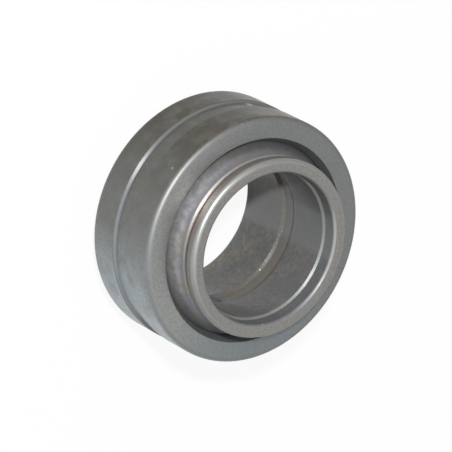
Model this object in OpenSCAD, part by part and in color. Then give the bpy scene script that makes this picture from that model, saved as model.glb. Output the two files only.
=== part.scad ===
// Open spherical plain bearing, steel on steel, with a wide inner ring.
// Origin at the centre of the ball, +Z along the bore. Millimetres and degrees.

/* [Inner ring] */
// Diameter of the bore that takes the shaft
bore_d = 25; // [22:0.5:27]
// Width over the two end faces
inner_w = 25; // [22:0.5:30]
// Wall of the cylindrical shoulder, from the bore out
shoulder_wall = 2.75; // [2:0.05:3.2]
// Radial step of the recess at each bore mouth
recess_step = 0.4; // [0.2:0.05:0.8]
// Depth of the recess at each bore mouth
recess_depth = 2.5; // [1:0.1:3]
// Rounding of the end face where it meets the shoulder
face_edge_r = 0.75; // [0.1:0.05:0.8]
// Rounding of the end face where it meets the bore mouth
bore_edge_r = 0.5; // [0.1:0.05:0.6]
// Depth of the grinding relief between ball and shoulder, below the shoulder
relief_depth = 0.65; // [0.3:0.05:0.8]
// Width of the floor of that relief
relief_w = 0.3; // [0.2:0.1:1.2]
// Radial height of the relief's wall on the ball's side
relief_bevel = 0.45; // [0.1:0.05:0.6]
// Slope of that wall, from square to the bore axis
relief_slope = 36; // [20:1:45]

/* [Outer ring] */
// Outer diameter that seats in the housing
outer_d = 42; // [40:0.5:50]
// Width over the two side faces
outer_w = 16; // [12:0.5:18]
// Wall at the middle of the ring, from the raceway out
outer_wall = 3.2; // [2:0.05:4]
// Rounding of the outer edges
outer_edge_r = 1; // [0.2:0.1:1.5]
// Radial gap between the shoulder and the mouth at the side face
mouth_gap = 2.15; // [1:0.05:3]
// Angle at the ball's centre between the shoulder's radius and the raceway's edge
tilt_room = 9; // [4:0.5:12]
// Radial running clearance between ball and raceway
ball_clearance = 0.05; // [0.02:0.01:0.1]
// Width of the hairline fracture across the ring
fracture_w = 0.03; // [0.02:0.01:0.2]
// Turn of the outer ring about the bore axis, from holes in line with those of the inner ring
outer_turn = -16; // [-90:1:90]

/* [Lubrication] */
// Width of the floor of the groove round the outer ring
outer_groove_w = 3; // [1.5:0.1:5]
// Depth of the groove round the outer ring
outer_groove_depth = 0.5; // [0.3:0.05:1]
// Width of the floor of the groove in the bore
bore_groove_w = 2.5; // [1.5:0.1:5]
// Depth of the groove in the bore
bore_groove_depth = 0.5; // [0.3:0.05:1]
// Diameter of the lubrication holes in both rings
oil_hole_d = 2.5; // [1:0.1:3]

/* [Hidden] */
$fn = 96;
steel = [0.50, 0.51, 0.51];
inner_steel = [0.54, 0.53, 0.50];
cut_margin = 1;

bore_r = bore_d / 2;
outer_r = outer_d / 2;
raceway_r = outer_r - outer_wall;
ball_r = raceway_r - ball_clearance;
recess_r = bore_r + recess_step;
shoulder_r = bore_r + shoulder_wall;
mouth_r = shoulder_r + mouth_gap;
relief_r = shoulder_r - relief_depth;
// Radius and height at which the ball ends and the relief begins
ball_end_r = relief_r + relief_bevel;
ball_end_z = sqrt(pow(ball_r, 2) - pow(ball_end_r, 2));
// Height at which the relief's floor begins
relief_z = ball_end_z + relief_bevel * tan(relief_slope);
// Angle from the bore axis at which the raceway ends and the mouth begins
raceway_edge = asin(shoulder_r / ball_r) + tilt_room;

// Profiles are drawn in the X-Y plane and revolved, so X is the radius and Y the height.

// What a rounding of radius r takes off the corner at the origin of a solid below and to the left of it
module corner_off(r) {
    difference() {
        translate([-r, -r]) square(r + cut_margin);
        translate([-r, -r]) circle(r);
    }
}

// Groove with 45 degree walls, cut from radius r in the direction side: -1 towards the axis, 1 away
module groove(r, floor_w, depth, side) {
    top = floor_w / 2 + depth + cut_margin;
    polygon([
        [r + side * depth, -floor_w / 2],
        [r + side * depth, floor_w / 2],
        [r - side * cut_margin, top],
        [r - side * cut_margin, -top]
    ]);
}

// Children at both ends of the ring
module both_ends() {
    children();
    mirror([0, 1]) children();
}

// Two opposite oil holes, through the walls that cross the X axis
module oil_holes() {
    rotate([0, 90, 0]) cylinder(d = oil_hole_d, h = outer_d + 2 * cut_margin, center = true);
}

// Bevelled mouth from the raceway's edge out to the side face
module mouth() {
    edge_r = raceway_r * sin(raceway_edge);
    edge_z = raceway_r * cos(raceway_edge);
    polygon([
        [0, edge_z],
        [edge_r, edge_z],
        [mouth_r, outer_w / 2],
        [mouth_r, outer_w / 2 + cut_margin],
        [0, outer_w / 2 + cut_margin]
    ]);
}

module outer_ring() {
    color(steel) rotate([0, 0, outer_turn]) difference() {
        rotate_extrude() difference() {
            translate([0, -outer_w / 2]) square([outer_r, outer_w]);
            circle(raceway_r);
            both_ends() mouth();
            both_ends() translate([outer_r, outer_w / 2]) corner_off(outer_edge_r);
            groove(outer_r, outer_groove_w, outer_groove_depth, -1);
        }
        oil_holes();
        translate([-fracture_w / 2, 0, -outer_w / 2 - cut_margin])
            cube([fracture_w, outer_r + cut_margin, outer_w + 2 * cut_margin]);
    }
}

// Recess at a bore mouth, with a bevelled step down to the bore and a rounded edge at the end face
module recess() {
    face_z = inner_w / 2;
    step_z = face_z - recess_depth;
    polygon([
        [bore_r - cut_margin, step_z - recess_step - cut_margin],
        [recess_r, step_z],
        [recess_r, face_z + cut_margin],
        [bore_r - cut_margin, face_z + cut_margin]
    ]);
    translate([recess_r, face_z]) mirror([1, 0]) corner_off(bore_edge_r);
}

// The two shoulders, joined by a thin wall that the ball covers
module shoulders() {
    polygon([
        [bore_r, -inner_w / 2],
        [shoulder_r, -inner_w / 2],
        [shoulder_r, -relief_z],
        [recess_r, -relief_z],
        [recess_r, relief_z],
        [shoulder_r, relief_z],
        [shoulder_r, inner_w / 2],
        [bore_r, inner_w / 2]
    ]);
}

// Grinding relief between ball and shoulder, with a 45 degree wall on the shoulder's side
module relief() {
    reach = relief_depth + cut_margin;
    polygon([
        [relief_r, relief_z],
        [relief_r, relief_z + relief_w],
        [relief_r + reach, relief_z + relief_w + reach],
        [relief_r + reach, relief_z - reach * tan(relief_slope)]
    ]);
}

module inner_ring() {
    color(inner_steel) difference() {
        rotate_extrude() difference() {
            union() {
                intersection() {
                    circle(ball_r);
                    translate([bore_r, -inner_w / 2]) square([ball_r, inner_w]);
                }
                shoulders();
            }
            both_ends() recess();
            both_ends() translate([shoulder_r, inner_w / 2]) corner_off(face_edge_r);
            both_ends() relief();
            groove(bore_r, bore_groove_w, bore_groove_depth, 1);
        }
        oil_holes();
    }
}

outer_ring();
inner_ring();
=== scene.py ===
"""An open spherical plain bearing, standing on its end under soft studio light."""
import math

import bmesh
import bpy
from mathutils import Matrix, Vector


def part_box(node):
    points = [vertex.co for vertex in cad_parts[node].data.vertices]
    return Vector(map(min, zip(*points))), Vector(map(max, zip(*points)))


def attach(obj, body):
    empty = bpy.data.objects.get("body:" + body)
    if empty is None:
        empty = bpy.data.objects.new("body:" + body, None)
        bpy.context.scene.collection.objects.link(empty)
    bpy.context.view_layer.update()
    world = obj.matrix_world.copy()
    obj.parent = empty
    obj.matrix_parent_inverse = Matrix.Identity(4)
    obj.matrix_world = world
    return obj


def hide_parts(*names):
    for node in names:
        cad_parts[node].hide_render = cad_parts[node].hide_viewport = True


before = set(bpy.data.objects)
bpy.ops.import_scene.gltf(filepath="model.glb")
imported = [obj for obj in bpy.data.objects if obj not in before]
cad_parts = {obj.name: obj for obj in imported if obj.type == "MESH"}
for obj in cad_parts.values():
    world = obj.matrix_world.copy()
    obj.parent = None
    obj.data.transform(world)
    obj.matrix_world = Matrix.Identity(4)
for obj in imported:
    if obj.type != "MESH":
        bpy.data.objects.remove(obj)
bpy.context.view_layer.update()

# Outer ring: one ring of hardened bearing steel, turned, ground and dark phosphated.
# Its outside carries a lubrication groove with two oil holes, its inside is the raceway that holds the
# ball, and it is cracked open at one hairline fracture so that the ball can be sprung in.
MM = 0.001
_, outer_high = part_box("outer_ring")
outer_half_w = outer_high.z
outer_r = 21 * MM
outer_edge_r = 1 * MM
groove_half_w = 1.5 * MM
groove_depth = 0.5 * MM
raceway_r = 17.8 * MM
raceway_start, raceway_edge = 0.5, 21.78  # degrees above the middle of the ring
mouth_r = 17.4 * MM
oil_hole_d = 2.5 * MM
fracture_w = 0.03 * MM
outer_turn = math.radians(-16)
turn_steps = 320
raceway_steps = 24
rounding_steps = 12
drill_steps = 64
sliver = 0.002 * MM
edge_break = 0.06 * MM
grain_depth = 0.006 * MM
sharp_turn = math.radians(20)


def arc(centre, radius, start, end, steps):
    """Points (radius, height) along an arc, from start to end in degrees, both ends included."""
    turns = [math.radians(start + (end - start) * i / steps) for i in range(steps + 1)]
    return [(centre[0] + radius * math.cos(a), centre[1] + radius * math.sin(a)) for a in turns]


def both_halves(upper):
    """A profile's upper half, from the inside round to the outside, closed by its mirror below."""
    return upper + [(r, -z) for r, z in reversed(upper)]


def break_edges(profile):
    """Take a hair off each sharp corner of a closed profile, as a deburred edge has it."""
    broken = []
    for i, corner in enumerate(profile):
        here = Vector(corner)
        before = Vector(profile[i - 1]) - here
        after = Vector(profile[(i + 1) % len(profile)]) - here
        if math.pi - before.angle(after) > sharp_turn and min(before.length, after.length) > 3 * edge_break:
            broken += [here + before.normalized() * edge_break, here + after.normalized() * edge_break]
        else:
            broken.append(here)
    return [tuple(p) for p in broken]


def lathe(name, profile, turn=0.0, opening=0.0):
    """Revolve a closed profile about Z, with a slit of the opening's angle at +Y before the turn."""
    mesh = bpy.data.meshes.new(name)
    build = bmesh.new()
    start = turn + math.pi / 2 + opening / 2
    count = turn_steps + 1 if opening else turn_steps
    columns = []
    for i in range(count):
        a = start + (2 * math.pi - opening) * i / turn_steps
        columns.append([build.verts.new((r * math.cos(a), r * math.sin(a), z)) for r, z in profile])
    rows = len(profile)
    for i in range(turn_steps):
        here, there = columns[i], columns[(i + 1) % count]
        for k in range(rows):
            build.faces.new((here[k], there[k], there[(k + 1) % rows], here[(k + 1) % rows]))
    if opening:
        build.faces.new(columns[0])
        build.faces.new(list(reversed(columns[-1])))
    bmesh.ops.recalc_face_normals(build, faces=build.faces)
    build.to_mesh(mesh)
    build.free()
    ring = bpy.data.objects.new(name, mesh)
    bpy.context.scene.collection.objects.link(ring)
    return ring


def drill(ring, diameter, turn=0.0):
    """Drill two opposite oil holes through the walls that cross the X axis, before the turn."""
    mesh = bpy.data.meshes.new("drill")
    build = bmesh.new()
    # Half a step of turn keeps the corners of the drill off the ring's own lines.
    half_step = Matrix.Rotation(math.pi / drill_steps, 4, "Z")
    across = Matrix.Rotation(turn, 4, "Z") @ Matrix.Rotation(math.pi / 2, 4, "Y") @ half_step
    bmesh.ops.create_cone(
        build, cap_ends=True, segments=drill_steps, radius1=diameter / 2, radius2=diameter / 2,
        depth=3 * outer_r, matrix=across)
    build.to_mesh(mesh)
    build.free()
    cutter = bpy.data.objects.new("drill", mesh)
    bpy.context.scene.collection.objects.link(cutter)
    cut = ring.modifiers.new("oil holes", "BOOLEAN")
    cut.operation = "DIFFERENCE"
    cut.solver = "EXACT"
    cut.object = cutter
    bpy.context.view_layer.update()
    drilled = bpy.data.meshes.new_from_object(ring.evaluated_get(bpy.context.evaluated_depsgraph_get()))
    ring.modifiers.clear()
    ring.data = drilled
    bpy.data.objects.remove(cutter)
    build = bmesh.new()
    build.from_mesh(drilled)
    bmesh.ops.remove_doubles(build, verts=build.verts, dist=sliver)
    build.to_mesh(drilled)
    build.free()
    drilled.shade_smooth()
    drilled.set_sharp_from_angle(angle=sharp_turn)
    flat = ring.modifiers.new("flat faces stay flat", "WEIGHTED_NORMAL")
    flat.keep_sharp = True
    flat.weight = 80


class Value:
    """A node socket that Python's operators work on."""

    def __init__(self, tree, socket=None):
        self.tree = tree
        self.socket = socket

    def node(self, kind, settings=None, output=0, **inputs):
        """Add a node, set its settings, then the values or links of its sockets, by name or as i0, i1."""
        made = self.tree.nodes.new(kind)
        for key, value in (settings or {}).items():
            setattr(made, key, value)
        for key, value in inputs.items():
            by_place = key[0] == "i" and key[1:].isdigit()
            socket = made.inputs[int(key[1:]) if by_place else key.replace("_", " ")]
            if isinstance(value, Value):
                self.tree.links.new(value.socket, socket)
            else:
                socket.default_value = value
        return Value(self.tree, made.outputs[output])

    def math(self, operation, *others):
        """Add a math node with this value as its first input."""
        inputs = {f"i{i}": v for i, v in enumerate((self, *others))}
        return self.node("ShaderNodeMath", {"operation": operation}, **inputs)

    def mix(self, low, high):
        """The colour low where this value is 0, and high where it is 1."""
        return self.node("ShaderNodeMix", {"data_type": "RGBA"}, output=2, i0=self, i6=low, i7=high)

    def under(self, *stains):
        """This colour with stains laid over it, each given as its share from 0 to 1 and its own colour."""
        colour = self
        for share, stain in stains:
            colour = share.mix(colour, stain)
        return colour

    def rise(self, low, high):
        """0 below low and 1 above high, with a soft step between."""
        return self.node(
            "ShaderNodeMapRange", {"interpolation_type": "SMOOTHSTEP"}, i0=self, i1=low, i2=high)

    def band(self, low, high, soft):
        """1 between low and high, with soft ends."""
        return self.rise(low - soft, low + soft) * (1 - self.rise(high - soft, high + soft))

    def feed(self, socket):
        """Link this value into a socket of a node."""
        self.tree.links.new(self.socket, socket)

    def __add__(self, other):
        return self.math("ADD", other)

    def __sub__(self, other):
        return self.math("SUBTRACT", other)

    def __rsub__(self, other):
        return (self * -1) + other

    def __mul__(self, other):
        return self.math("MULTIPLY", other)

    def __truediv__(self, other):
        return self.math("DIVIDE", other)

    __radd__ = __add__
    __rmul__ = __mul__


class Turned:
    """The surface of a turned ring: its places in millimetres, its patches, stains and nicks."""

    def __init__(self, name):
        self.material = bpy.data.materials.new(name)
        self.material.use_nodes = True
        tree = self.material.node_tree
        self.shader = tree.nodes["Principled BSDF"]
        start = Value(tree)
        place = start.node("ShaderNodeTexCoord", output="Object")
        self.place = start.node("ShaderNodeVectorMath", {"operation": "SCALE"}, i0=place, Scale=1 / MM)
        self.x, self.y, self.z = [
            start.node("ShaderNodeSeparateXYZ", output=axis, i0=self.place) for axis in "XYZ"]
        self.height = self.z.math("ABSOLUTE")
        self.radius = (self.x * self.x + self.y * self.y).math("SQRT")

    def side(self, degrees):
        """1 on the side of the ring that faces that way, 0 across it and -1 on the far side."""
        a = math.radians(degrees)
        return (self.x * math.cos(a) + self.y * math.sin(a)) / self.radius

    def cloud(self, size, detail=3.0, shift=0.0):
        """Blotches of about that many millimetres, from 0 to 1."""
        moved = self.place.node(
            "ShaderNodeVectorMath", {"operation": "ADD"}, i0=self.place, i1=(shift, -shift, 2 * shift))
        return self.place.node(
            "ShaderNodeTexNoise", i0=moved, Scale=1 / size, Detail=detail, Roughness=0.6)

    def nick(self, degrees, radius, height, size):
        """1 on a small nick at that place on the ring, else 0."""
        a = math.radians(degrees)
        spot = (radius * math.cos(a), radius * math.sin(a), height)
        away = self.place.node(
            "ShaderNodeVectorMath", {"operation": "DISTANCE"}, output="Value", i0=self.place, i1=spot)
        return 1 - away.rise(size * 0.5, size)

    def finish(self, colour, roughness, metallic, relief, depth):
        """Wire the surface: its colour, gloss and share of bare metal, and a fine relief that deep."""
        colour.feed(self.shader.inputs["Base Color"])
        roughness.feed(self.shader.inputs["Roughness"])
        metallic.feed(self.shader.inputs["Metallic"])
        bump = relief.node("ShaderNodeBump", Height=relief, Strength=1.0, Distance=depth)
        bump.feed(self.shader.inputs["Normal"])
        return self.material


def outer_ring_steel():
    """Dark phosphated steel: cool grey, with painted shade making one flank darker and browner, a painted
    reflection making the other paler and bluer, a painted highlight along the groove's wall, and edges worn
    bare and lightened further as a painted highlight.
    """
    grey, painted_light_grey = (0.198, 0.206, 0.205, 1), (0.29, 0.298, 0.29, 1)
    cool_grey, blue_grey = (0.2, 0.232, 0.245, 1), (0.32, 0.37, 0.39, 1)
    brown, olive = (0.05, 0.041, 0.022, 1), (0.08, 0.08, 0.062, 1)
    dark_patch, grey_patch = (0.12, 0.115, 0.1, 1), (0.2, 0.207, 0.195, 1)
    dark_grain, highlight_and_bare_steel = (0.1, 0.1, 0.1, 1), (0.5, 0.52, 0.53, 1)
    far_painted_sheen, near_painted_sheen = (0.165, 0.175, 0.18, 1), (0.25, 0.27, 0.29, 1)
    far_dull, near_dull = (0.1, 0.103, 0.1, 1), (0.17, 0.18, 0.185, 1)
    rim, face_z = outer_r / MM, outer_half_w / MM
    wall_low = groove_half_w / MM
    wall_high = wall_low + groove_depth / MM

    s = Turned("outer ring steel")
    blotch = s.cloud(4.0)
    patch = s.cloud(2.5, 2.0, 19.0)
    grain = s.cloud(0.5, 4.0, 7.0)
    wall = s.height.band(wall_low, wall_high, 0.04) * s.radius.rise(rim - 0.7, rim - 0.55)
    outside = s.radius.rise(rim - 0.8, rim - 0.55) * (1 - s.height.rise(face_z - 0.8, face_z - 0.2))
    outside = outside * (1 - wall)
    edge = s.radius.rise(rim - 0.85, rim - 0.4) * s.height.rise(face_z - 1.0, face_z - 0.5)
    land = s.radius.rise(rim - 0.45, rim - 0.15) * 0.3 + 0.7
    mottling = outside * 0.32 + 0.1

    # Painted light: the face is painted paler on one side.
    face_painted_light = s.side(-80).rise(-0.2, 0.9) * (1 - outside) * (1 - edge * 0.7)
    cool_face = s.side(8).rise(0.6, 0.95) * (1 - outside) * 0.6
    # Painted reflection: one flank of the outside is painted paler and bluer.
    painted_reflection_flank = s.side(-36).rise(0.58, 1.0) * outside
    # Painted shade: the other flank and its edge are painted darker and browner, and part of the outside
    # between the flanks is painted darker olive.
    painted_shade_flank = s.side(180).rise(0.1, 0.95) * (outside * land * (blotch * 0.5 + 0.72) + edge * 0.45)
    painted_olive_shade = s.side(-110).rise(0.88, 1.0) * outside * 0.35
    nicks = (
        s.nick(-125.5, rim, 5.8, 0.24) * 0.6
        + s.nick(175.6, rim - 0.5, -1.0, 0.75)
        + s.nick(-163, rim - 0.2, 7.8, 0.2))
    # Bare steel at the nicks and along the worn edges, which are lightened as a painted highlight too.
    wear_and_highlights = edge * grain * 0.3 + nicks
    # Painted highlight: the middle of the groove's wall is painted as a pale line between darker rims, and
    # the wall is painted paler on one side as a painted reflection.
    near = s.side(-62).rise(0.4, 1.0)
    mid_wall = s.height.band(wall_low + 0.16, wall_high - 0.14, 0.14)
    wall_colour = mid_wall.mix(near.mix(far_dull, near_dull), near.mix(far_painted_sheen, near_painted_sheen))
    colour = face_painted_light.mix(grey, painted_light_grey).under(
        (cool_face, cool_grey),
        (painted_reflection_flank, blue_grey),
        (painted_shade_flank, brown),
        (painted_olive_shade, olive),
        (blotch.rise(0.4, 0.7) * mottling, dark_patch),
        (patch.rise(0.4, 0.75) * mottling * 0.7, grey_patch),
        (grain.rise(0.35, 0.7) * 0.3 - 0.03, dark_grain),
        (wear_and_highlights, highlight_and_bare_steel),
        (wall, wall_colour))
    roughness = 0.36 + (grain - 0.5) * 0.1 * (1 - wall) + edge * 0.15 - wall * 0.09
    metallic = 0.75 + wear_and_highlights * 0.2 - wall * 0.4
    return s.finish(colour, roughness, metallic, grain * (1 - wall * 0.8), grain_depth)


outer_profile = break_edges(both_halves(
    arc((0, 0), raceway_r, raceway_start, raceway_edge, raceway_steps)
    + [(mouth_r, outer_half_w)]
    + arc((outer_r - outer_edge_r, outer_half_w - outer_edge_r), outer_edge_r, 90, 0, rounding_steps)
    + [(outer_r, groove_half_w + groove_depth), (outer_r - groove_depth, groove_half_w)]))
outer_ring = lathe("outer_ring_steel", outer_profile, outer_turn, fracture_w / raceway_r)
drill(outer_ring, oil_hole_d, outer_turn)
outer_ring.data.materials.append(outer_ring_steel())
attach(outer_ring, "outer_ring")
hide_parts("outer_ring")

# Inner ring: a ball with a cylindrical shoulder at each end, turned and ground from one piece of bearing
# steel and dark phosphated. The shaft goes through its bore, which has a recess at each mouth and a
# lubrication groove with two oil holes in the middle. A grinding relief parts the ball from each shoulder.
inner_low, inner_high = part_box("inner_ring")
inner_half_w = inner_high.z
ball_r = 17.75 * MM
shoulder_r = 15.25 * MM
relief_r = 14.6 * MM
relief_bevel = 0.45 * MM
relief_slope = math.radians(36)
relief_w = 0.3 * MM
face_edge_r = 0.75 * MM
bore_r = 12.5 * MM
recess_r = 12.9 * MM
recess_depth = 2.5 * MM
bore_edge_r = 0.5 * MM
bore_groove_half_w = 1.25 * MM
bore_groove_depth = 0.5 * MM
ball_end_r = relief_r + relief_bevel
ball_end_z = math.sqrt(ball_r ** 2 - ball_end_r ** 2)
ball_end = math.degrees(math.atan2(ball_end_z, ball_end_r))
relief_z = ball_end_z + relief_bevel * math.tan(relief_slope)
ball_start = 0.6  # degrees above the middle of the ring
ball_steps = 30
small_rounding_steps = 8


def ball_mottling_and_painted_light(s, ball, tint):
    """Blue-grey and brown-grey patches, with painted shade on the far side, and rubbed bright below the
    relief with a painted highlight on the near side.
    """
    blue_grey, brown_grey = (0.2, 0.206, 0.235, 1), (0.235, 0.215, 0.195, 1)
    shade, bright = (0.07, 0.07, 0.07, 1), (0.52, 0.52, 0.53, 1)
    # Painted shade on the far side of the ball.
    far = 0.35 - s.side(-70).rise(-0.7, 0.8) * 0.35
    # Rubbed bright below the relief, painted brighter still on the near side as a painted highlight.
    wear_and_painted_highlight = s.height.band(6.9, 8.9, 0.5) * ball * (s.cloud(1.0, 3.0, 23.0).rise(0.35, 0.7) * 0.4 + 0.3)
    near = s.side(-102).rise(0.5, 1.0) * 0.8 + 0.2
    return tint.rise(0.4, 0.62).mix(blue_grey, brown_grey).under((far, shade), (wear_and_painted_highlight * near, bright))


def bore_stains_and_painted_light(s, bore, groove, blotch, tint):
    """Grey and brown stains, with a dark line, painted glints and painted light in the groove, a painted
    reflection and painted shade in the front of the bore, and a blue spot round an oil hole.
    """
    cool_grey, warm_grey = (0.164, 0.178, 0.176, 1), (0.198, 0.174, 0.142, 1)
    dark_grey, dark_brown = (0.135, 0.141, 0.145, 1), (0.113, 0.106, 0.095, 1)
    dark_blue, groove_brown = (0.1, 0.106, 0.12, 1), (0.178, 0.164, 0.139, 1)
    painted_light_grey, shade = (0.222, 0.229, 0.226, 1), (0.09, 0.084, 0.08, 1)
    painted_light_brown, blue_grey = (0.27, 0.25, 0.22, 1), (0.128, 0.139, 0.15, 1)
    blue_spot, groove_edge_black = (0.07, 0.076, 0.15, 1), (0.05, 0.046, 0.041, 1)
    wall_brown, glint_grey = (0.1, 0.092, 0.08, 1), (0.35, 0.35, 0.36, 1)
    wall_low = bore_groove_half_w / MM
    wall_high = wall_low + bore_groove_depth / MM
    floor_r = (bore_r + bore_groove_depth) / MM
    recess_z = (inner_half_w - recess_depth) / MM

    recess = s.z.rise(recess_z - 0.1, recess_z + 0.1)
    # A dark line along the groove's front edge, on one side.
    dark_groove_edge = s.z.band(wall_low - 0.5, wall_low + 0.05, 0.2) * s.side(58).rise(0.4, 0.9) * bore
    wall = s.height.band(wall_low, wall_high, 0.04) * bore
    # Painted glints: bright specks on the groove's wall.
    painted_glints = wall * s.cloud(0.35, 2.0, 3.0).rise(0.6, 0.72)
    return tint.rise(0.35, 0.65).mix(cool_grey, warm_grey).under(
        (blotch.rise(0.4, 0.65), dark_grey),
        (s.cloud(0.8, 4.0, 31.0).rise(0.35, 0.65) * 0.75, dark_brown),
        (s.side(25).rise(0.4, 1.0) * recess * 0.5, dark_blue),
        (groove * 0.7, groove_brown),
        # Painted reflection: a pale patch in the front of the bore.
        (s.side(96).rise(0.94, 0.975) * 0.65, painted_light_grey),
        # Painted shade above the groove on one side.
        (s.side(134).rise(0.9, 0.96) * s.z.rise(wall_high - 0.15, wall_high + 0.25) * 0.35, shade),
        # Painted light: the groove's end in the lamp's shadow is painted paler.
        (s.side(135).rise(0.92, 0.97) * groove, painted_light_brown),
        (s.z.rise(wall_high + 0.05, wall_high + 0.85) * 0.3, blue_grey),
        # A darker blue spot round the oil hole.
        (s.nick(0, floor_r, 0, 2.4) * 0.7, blue_spot),
        (dark_groove_edge * 0.5, groove_edge_black),
        (wall * 0.4, wall_brown),
        # Painted glints, on one side of the groove's wall only.
        (painted_glints * s.side(60).rise(0.6, 1.0), glint_grey))


def inner_ring_steel():
    """Dark phosphated steel: warm grey faces, a blue-grey mottled ball, brown in the relief and the bore,
    with painted highlights on the shoulder's edge, the bore's mouth and the ball, painted light on the neck,
    and painted light and shade in the bore.
    """
    light_face, dark_face = (0.26, 0.255, 0.242, 1), (0.208, 0.204, 0.194, 1)
    red_brown, grey_brown = (0.14, 0.1, 0.08, 1), (0.15, 0.122, 0.108, 1)
    warm_neck, neck_painted_light = (0.265, 0.247, 0.226, 1), (0.38, 0.38, 0.375, 1)
    highlight_and_bare_steel = (0.46, 0.48, 0.47, 1)
    face_z, ball_top = inner_half_w / MM, ball_end_z / MM
    rim, floor_r, mouth_wall = shoulder_r / MM, relief_r / MM, recess_r / MM
    groove_z = (bore_groove_half_w + bore_groove_depth) / MM
    step_high = face_z - recess_depth / MM
    step_low = step_high - (recess_r - bore_r) / MM

    s = Turned("inner ring steel")
    blotch = s.cloud(4.0)
    grain = s.cloud(0.5, 4.0, 5.0)
    tint = s.cloud(2.0, 2.0, 11.0)
    outside = s.radius.rise(floor_r - 0.6, floor_r - 0.2)
    ball = (1 - s.height.rise(ball_top - 0.06, ball_top + 0.04)) * outside
    bevel = s.height.band(ball_top, ball_top + 0.21, 0.04) * outside
    relief = s.height.band(ball_top + 0.19, ball_top + 1.19, 0.04)
    relief = relief * s.radius.rise(floor_r - 0.3, floor_r - 0.1)
    neck = s.height.band(ball_top + 1.19, face_z - 0.65, 0.1) * s.radius.rise(rim - 0.25, rim - 0.15)
    edge = s.height.rise(face_z - 0.75, face_z - 0.45) * s.radius.rise(rim - 0.75, rim - 0.6)
    bore = 1 - s.radius.rise(mouth_wall + 0.15, mouth_wall + 0.45)
    groove = (1 - s.height.rise(groove_z - 0.05, groove_z + 0.1)) * bore
    step = s.z.band(step_low, step_high, 0.05) * bore
    mouth = 1 - s.radius.rise(mouth_wall + 0.3, mouth_wall + 0.45)
    mouth = mouth * s.height.rise(face_z - 0.5, face_z - 0.3)

    nicks = (
        s.nick(48.7, 12.75, -1.4, 0.2)
        + s.nick(28, 13.0, 1.15, 0.15)
        + s.nick(4.7, 12.95, 12.2, 0.15))
    # The shoulder's edge and the bore's mouth are worn bare, with a painted highlight added on one side of
    # each.
    edge_wear_and_highlight = edge * (s.side(-110).rise(0.5, 1.0) * 0.4 + grain * 0.2 + 0.06)
    mouth_wear_and_highlight = mouth * (s.side(78).rise(0.6, 0.95) * 0.5 + 0.1)
    # Bare steel for the wear and the nicks, and for the painted highlights above.
    wear_and_highlights = edge_wear_and_highlight + mouth_wear_and_highlight + bevel * 0.1 + step * 0.3 + nicks
    colour = grain.rise(0.35, 0.7).mix(light_face, dark_face).under(
        (ball, ball_mottling_and_painted_light(s, ball, tint)),
        (relief, tint.rise(0.35, 0.65).mix(red_brown, grey_brown)),
        # Painted light: the neck is painted paler on one side.
        (neck, s.side(-60).rise(0.6, 1.0).mix(warm_neck, neck_painted_light)),
        (bore, bore_stains_and_painted_light(s, bore, groove, blotch, tint)),
        (wear_and_highlights, highlight_and_bare_steel))
    smooth = ball + bore - groove
    top_of_bore = s.side(130).rise(0.85, 1.0) * bore
    roughness = 0.36 + (grain - 0.5) * 0.1 * (1 - smooth) - bore * 0.12 + groove * 0.14 + top_of_bore * 0.1
    roughness = roughness + edge * 0.06 + step * 0.25 + mouth * 0.1 + bevel * 0.12
    metallic = 0.7 + wear_and_highlights * 0.2 - bore * 0.7 + step * 0.5 - ball * 0.1
    s.shader.inputs["Specular IOR Level"].default_value = 0.2
    return s.finish(colour, roughness, metallic, grain * (1 - smooth * 0.8), grain_depth)


inner_profile = break_edges(both_halves(
    [(bore_r + bore_groove_depth, bore_groove_half_w),
     (bore_r, bore_groove_half_w + bore_groove_depth),
     (bore_r, inner_half_w - recess_depth - (recess_r - bore_r)),
     (recess_r, inner_half_w - recess_depth)]
    + arc((recess_r + bore_edge_r, inner_half_w - bore_edge_r), bore_edge_r, 180, 90, small_rounding_steps)
    + arc((shoulder_r - face_edge_r, inner_half_w - face_edge_r), face_edge_r, 90, 0, small_rounding_steps)
    + [(shoulder_r, relief_z + relief_w + shoulder_r - relief_r), (relief_r, relief_z + relief_w),
       (relief_r, relief_z)]
    + arc((0, 0), ball_r, ball_end, ball_start, ball_steps)))
inner_ring = lathe("inner_ring_steel", inner_profile)
drill(inner_ring, oil_hole_d)
inner_ring.data.materials.append(inner_ring_steel())
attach(inner_ring, "inner_ring")
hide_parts("inner_ring")

# Floor: a plain white table top under the bearing.
# Cameras and reflections see most of it as plain white, and the rest keeps the bearing's soft shadow.
floor_size = 6.0
floor_gap = 0.02 * MM
floor_white = 0.92
table_colour = (0.92, 0.92, 0.92, 1)
bpy.ops.mesh.primitive_plane_add(size=floor_size, location=(0, 0, inner_low.z - floor_gap))
floor = bpy.context.object
floor.name = "floor"
table = bpy.data.materials.new("white table")
table.use_nodes = True


def ray(tree, *kinds):
    """1 for rays of one of those kinds, else 0."""
    found = [Value(tree).node("ShaderNodeLightPath", output=f"Is {kind} Ray") for kind in kinds]
    return sum(found[1:], found[0]).math("MINIMUM", 1.0)


seen = ray(table.node_tree, "Camera", "Glossy", "Transmission")
lit = seen.node("ShaderNodeBsdfDiffuse", Color=table_colour)
white = seen.node("ShaderNodeEmission", Color=(1, 1, 1, 1), Strength=1.0)
top = seen.node("ShaderNodeMixShader", i0=seen * floor_white, i1=lit, i2=white)
top.feed(table.node_tree.nodes["Material Output"].inputs["Surface"])
floor.data.materials.append(table)

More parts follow.
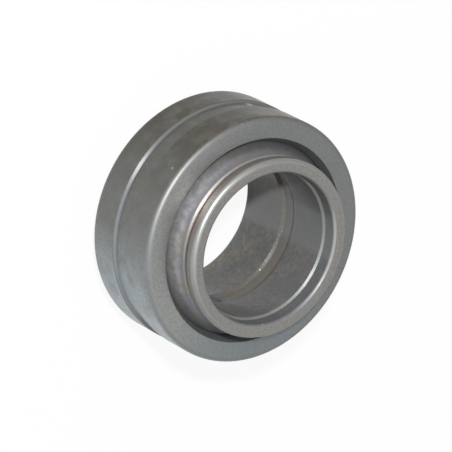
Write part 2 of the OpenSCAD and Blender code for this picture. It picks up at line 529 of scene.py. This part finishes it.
# Room: a pale studio, white where the camera or a reflection meets it, and a little dimmer in reflections
# of what stands low round the table.
room_light = 0.36
low_dimming = 0.45
world = bpy.data.worlds.new("studio")
bpy.context.scene.world = world
world.use_nodes = True
seen = ray(world.node_tree, "Camera", "Glossy", "Transmission")
direction = seen.node("ShaderNodeTexCoord", output="Generated")
low = 1 - seen.node("ShaderNodeSeparateXYZ", output="Z", i0=direction).rise(0.1, 0.7)
dimmed = low * ray(world.node_tree, "Glossy") * low_dimming
background = world.node_tree.nodes["Background"]
background.inputs["Color"].default_value = (1, 1, 1, 1)
(seen * (1 - room_light) + room_light - dimmed).feed(background.inputs["Strength"])

# Camera: a long lens aimed at the ball's centre, above and in front, and rolled so that the bearing
# stands on its rim in the picture.
view_azimuth = math.radians(-24)
view_elevation = math.radians(49.6)
view_roll = math.radians(117.8)
view_distance = 0.6361
picture_px = 452
focal_px = 3881
right_px, down_px = 0.1, 0.15
backward = Vector((
    math.sin(view_azimuth) * math.cos(view_elevation),
    -math.cos(view_azimuth) * math.cos(view_elevation),
    math.sin(view_elevation)))
lens = bpy.data.cameras.new("camera")
lens.sensor_width = 36
lens.lens = focal_px / picture_px * lens.sensor_width
lens.shift_x = -right_px / picture_px
lens.shift_y = down_px / picture_px
camera = bpy.data.objects.new("camera", lens)
bpy.context.scene.collection.objects.link(camera)
upright = backward.to_track_quat("Z", "Y").to_matrix().to_4x4()
camera.matrix_world = (
    Matrix.Translation(backward * view_distance) @ upright @ Matrix.Rotation(view_roll, 4, "Z"))
bpy.context.scene.camera = camera
bpy.context.scene.view_settings.view_transform = "Standard"

# Lamp: one small square lamp above the left flank of the rings as the camera sees them.
# It lights the outer edge and the groove's wall, and throws the shadow of the near rim into the bore.
lamp_azimuth = math.radians(-126)
lamp_elevation = math.radians(48)
lamp_distance = 0.7
light = bpy.data.lights.new("key lamp", "AREA")
light.size = 0.035
light.energy = 4.6
lamp_place = lamp_distance * Vector((
    math.cos(lamp_azimuth) * math.cos(lamp_elevation),
    math.sin(lamp_azimuth) * math.cos(lamp_elevation),
    math.sin(lamp_elevation)))
lamp = bpy.data.objects.new("key lamp", light)
bpy.context.scene.collection.objects.link(lamp)
lamp.matrix_world = (
    Matrix.Translation(lamp_place) @ lamp_place.to_track_quat("Z", "Y").to_matrix().to_4x4())
